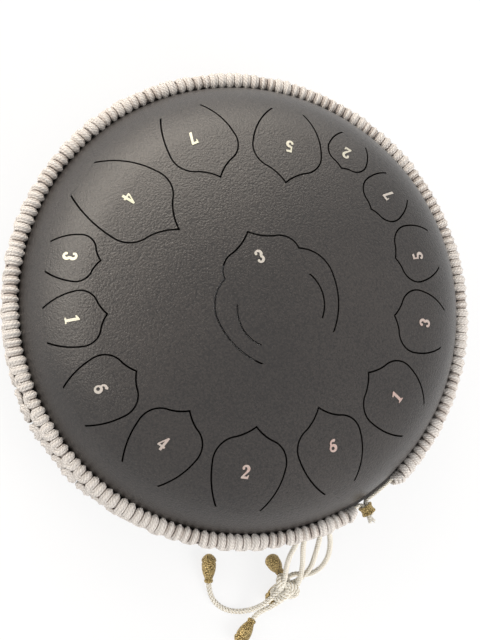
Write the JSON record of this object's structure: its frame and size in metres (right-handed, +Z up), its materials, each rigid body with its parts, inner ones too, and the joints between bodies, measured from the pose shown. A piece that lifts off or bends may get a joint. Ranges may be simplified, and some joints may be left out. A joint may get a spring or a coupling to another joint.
{
  "type": "steel tongue drum",
  "caption": "Round steel tongue drum: a domed top cut into petal tongues with raised figures, a ported bottom shell on rubber feet, a knotted cord band and beaded cord tails.",
  "frame": {"origin": "centre of the drum's footprint on the floor, on its axis", "axes": "+Z up along the drum's axis; +X to the player's right and +Y away from the player, as the figures read"},
  "size_m": [0.356, 0.4333, 0.1519],
  "materials": {
    "dome_coat": "dark charcoal powder coat with a fine leather grain, satin",
    "tongue_coat": "the same dark charcoal powder coat as the dome",
    "base_coat": "dark charcoal powder coat, satin",
    "label_foil": "thin embossed metal foil figure, warm silver",
    "adhesive": "black sealing adhesive",
    "foot_rubber": "matt black rubber",
    "zinc_steel": "zinc plated",
    "band_cotton": "cream cotton cord in square knots",
    "core_cotton": "cream cotton cord",
    "tail_cotton": "cream twisted cotton cord",
    "bead_bronze": "antique bronze, dark with worn bright edges"
  },
  "bodies": {
    "drum": {"top_shell": "dome_coat", "bottom_shell": "base_coat", "seam_adhesive": "adhesive", "foot_1": "foot_rubber", "foot_2": "foot_rubber", "foot_3": "foot_rubber", "foot_4": "foot_rubber", "foot_screws": "zinc_steel", "foot_washers": "zinc_steel", "foot_nuts": "zinc_steel", "cord_band": "band_cotton", "core_cord": "core_cotton", "tail_cord_1": "tail_cotton", "tail_cord_2": "tail_cotton", "tail_cord_3": "tail_cotton", "tail_cord_4": "tail_cotton", "tail_bead_1": "bead_bronze", "tail_bead_2": "bead_bronze", "tail_bead_3": "bead_bronze", "tail_bead_4": "bead_bronze"},
    "tongue mid 5": {"tongue_mid_5": "tongue_coat", "label_mid_5": "label_foil"},
    "tongue mid 7": {"tongue_mid_7": "tongue_coat", "label_mid_7": "label_foil"},
    "tongue high 2": {"tongue_high_2": "tongue_coat", "label_high_2": "label_foil"},
    "tongue low 5": {"tongue_low_5": "tongue_coat", "label_low_5": "label_foil"},
    "tongue low 7": {"tongue_low_7": "tongue_coat", "label_low_7": "label_foil"},
    "tongue low 4": {"tongue_low_4": "tongue_coat", "label_low_4": "label_foil"},
    "tongue high 3": {"tongue_high_3": "tongue_coat", "label_high_3": "label_foil"},
    "tongue high 1": {"tongue_high_1": "tongue_coat", "label_high_1": "label_foil"},
    "tongue mid 6": {"tongue_mid_6": "tongue_coat", "label_mid_6": "label_foil"},
    "tongue mid 4": {"tongue_mid_4": "tongue_coat", "label_mid_4": "label_foil"},
    "tongue mid 2": {"tongue_mid_2": "tongue_coat", "label_mid_2": "label_foil"},
    "tongue low 6": {"tongue_low_6": "tongue_coat", "label_low_6": "label_foil"},
    "tongue mid 1": {"tongue_mid_1": "tongue_coat", "label_mid_1": "label_foil"},
    "tongue mid 3": {"tongue_mid_3": "tongue_coat", "label_mid_3": "label_foil"},
    "tongue low 3": {"tongue_low_3": "tongue_coat", "label_low_3": "label_foil"},
    "closure bead": {"closure_bead": "bead_bronze"}
  },
  "joints": [
    {"name": "tongue mid 5 flex", "type": "hinge", "parent": "drum", "child": "tongue mid 5", "pos_m": [0.13161, 0.0415, 0.11942], "axis": [-0.3007, 0.9537, 0], "range_deg": [-0.4, 0.4], "stiffness_Nm_per_rad": 203.7},
    {"name": "tongue mid 7 flex", "type": "hinge", "parent": "drum", "child": "tongue mid 7", "pos_m": [0.1023, 0.08615, 0.12234], "axis": [-0.6441, 0.7649, 0], "range_deg": [-0.4, 0.4], "stiffness_Nm_per_rad": 211.4},
    {"name": "tongue high 2 flex", "type": "hinge", "parent": "drum", "child": "tongue high 2", "pos_m": [0.07081, 0.12021, 0.11827], "axis": [-0.8616, 0.5075, 0], "range_deg": [-0.4, 0.4], "stiffness_Nm_per_rad": 189.1},
    {"name": "tongue low 5 flex", "type": "hinge", "parent": "drum", "child": "tongue low 5", "pos_m": [0.01986, 0.13779, 0.1185], "axis": [-0.9898, 0.1426, 0], "range_deg": [-0.4, 0.4], "stiffness_Nm_per_rad": 109},
    {"name": "tongue low 7 flex", "type": "hinge", "parent": "drum", "child": "tongue low 7", "pos_m": [-0.05835, 0.13356, 0.11283], "axis": [-0.9164, -0.4003, 0], "range_deg": [-0.4, 0.4], "stiffness_Nm_per_rad": 152.3},
    {"name": "tongue low 4 flex", "type": "hinge", "parent": "drum", "child": "tongue low 4", "pos_m": [-0.12676, 0.08107, 0.10778], "axis": [-0.5388, -0.8425, 0], "range_deg": [-0.4, 0.4], "stiffness_Nm_per_rad": 112},
    {"name": "tongue high 3 flex", "type": "hinge", "parent": "drum", "child": "tongue high 3", "pos_m": [-0.14985, 0.02535, 0.10593], "axis": [-0.1668, -0.986, 0], "range_deg": [-0.4, 0.4], "stiffness_Nm_per_rad": 172.9},
    {"name": "tongue high 1 flex", "type": "hinge", "parent": "drum", "child": "tongue high 1", "pos_m": [-0.15072, -0.0228, 0.10535], "axis": [0.1495, -0.9888, 0], "range_deg": [-0.4, 0.4], "stiffness_Nm_per_rad": 168.5},
    {"name": "tongue mid 6 flex", "type": "hinge", "parent": "drum", "child": "tongue mid 6", "pos_m": [-0.12975, -0.07827, 0.1065], "axis": [0.5165, -0.8563, 0], "range_deg": [-0.4, 0.4], "stiffness_Nm_per_rad": 189.7},
    {"name": "tongue mid 4 flex", "type": "hinge", "parent": "drum", "child": "tongue mid 4", "pos_m": [-0.08415, -0.12382, 0.10866], "axis": [0.8271, -0.5621, 0], "range_deg": [-0.4, 0.4], "stiffness_Nm_per_rad": 165},
    {"name": "tongue mid 2 flex", "type": "hinge", "parent": "drum", "child": "tongue mid 2", "pos_m": [-0.01501, -0.14773, 0.11001], "axis": [0.9949, -0.1011, 0], "range_deg": [-0.4, 0.4], "stiffness_Nm_per_rad": 160.9},
    {"name": "tongue low 6 flex", "type": "hinge", "parent": "drum", "child": "tongue low 6", "pos_m": [0.05882, -0.13336, 0.11283], "axis": [0.915, 0.4035, 0], "range_deg": [-0.4, 0.4], "stiffness_Nm_per_rad": 110.7},
    {"name": "tongue mid 1 flex", "type": "hinge", "parent": "drum", "child": "tongue mid 1", "pos_m": [0.11484, -0.08498, 0.1155], "axis": [0.5948, 0.8039, 0], "range_deg": [-0.4, 0.4], "stiffness_Nm_per_rad": 150.7},
    {"name": "tongue mid 3 flex", "type": "hinge", "parent": "drum", "child": "tongue mid 3", "pos_m": [0.13791, -0.01791, 0.11862], "axis": [0.1288, 0.9917, 0], "range_deg": [-0.4, 0.4], "stiffness_Nm_per_rad": 168.8},
    {"name": "tongue low 3 flex", "type": "hinge", "parent": "drum", "child": "tongue low 3", "pos_m": [0.01806, -0.03801, 0.14839], "axis": [0.91, 0.4147, 0], "range_deg": [-0.4, 0.4], "stiffness_Nm_per_rad": 184.4},
    {"name": "closure bead slide", "type": "slide", "parent": "drum", "child": "closure bead", "axis": [0.5344, -0.8453, 0], "range_m": [0, 0.002]}
  ]
}
